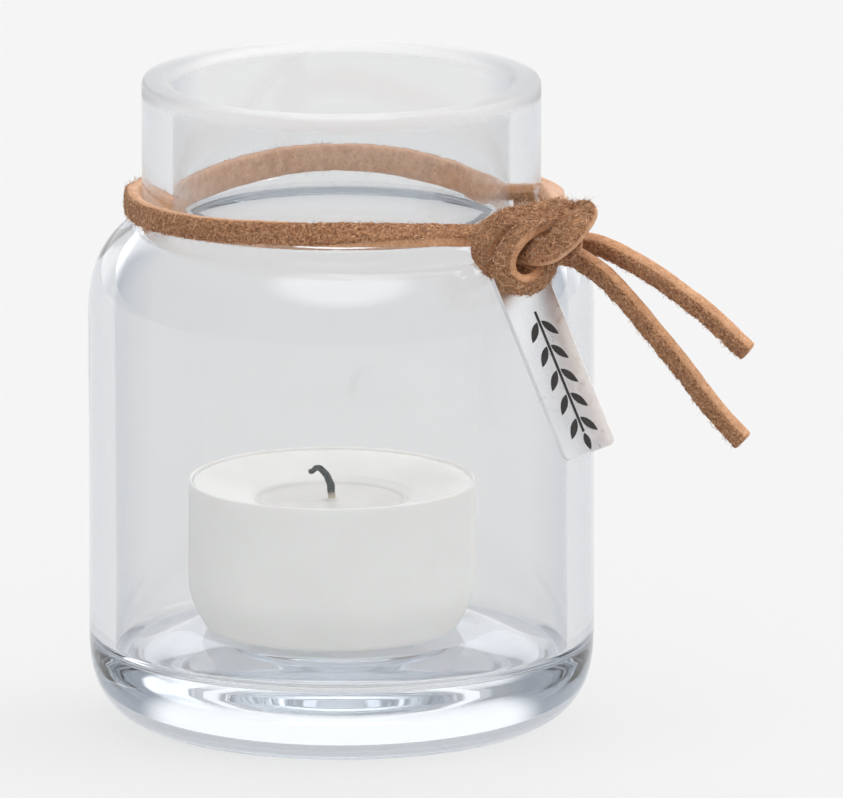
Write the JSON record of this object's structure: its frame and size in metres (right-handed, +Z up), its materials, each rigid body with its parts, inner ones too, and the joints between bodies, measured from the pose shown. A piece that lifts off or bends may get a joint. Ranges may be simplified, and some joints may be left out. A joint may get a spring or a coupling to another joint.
{
  "type": "tealight holder",
  "caption": "Thick clear glass jar for a tealight, with a leather lace knotted round its wide neck and a small metal tag on the knot.",
  "frame": {"origin": "centre of the jar's flat underside, on the jar's axis", "axes": "+Z up along the jar's axis; the front faces -Y, and the knot sits at the front right, between -Y and +X"},
  "size_m": [0.0879, 0.0679, 0.0865],
  "materials": {
    "jar_glass": "clear, polished, faintly blue-grey where it is thick",
    "cup_plastic": "clear, thin",
    "wax": "smooth white paraffin wax, slightly translucent",
    "wick_cotton": "braided cotton, charred grey",
    "sustainer_steel": "thin tinned steel",
    "lace_leather": "natural tan leather, suede faces with loose fibres, smooth cut edges",
    "tag_metal": "satin, with a black-filled leaf sprig"
  },
  "bodies": {
    "jar": {"glass_jar": "jar_glass"},
    "candle": {"candle_cup": "cup_plastic", "candle_wax": "wax", "wick": "wick_cotton", "wick_sustainer": "sustainer_steel"},
    "lace": {"lace_loop": "lace_leather", "lace_knot": "lace_leather", "lace_tail_upper": "lace_leather", "lace_tail_lower": "lace_leather"},
    "tag": {"tag": "tag_metal"}
  },
  "joints": [
    {"name": "candle_lift", "type": "slide", "parent": "jar", "child": "candle", "axis": [0, 0, 1], "range_m": [0, 0.09]},
    {"name": "lace_turn", "type": "hinge", "parent": "jar", "child": "lace", "pos_m": [0, 0, 0.07], "axis": [0, 0, 1], "continuous": true},
    {"name": "tag_swing", "type": "hinge", "parent": "lace", "child": "tag", "pos_m": [0.0239, -0.0253, 0.0637], "axis": [0.5454, -0.7238, 0.4226], "range_deg": [-40, 20]}
  ]
}
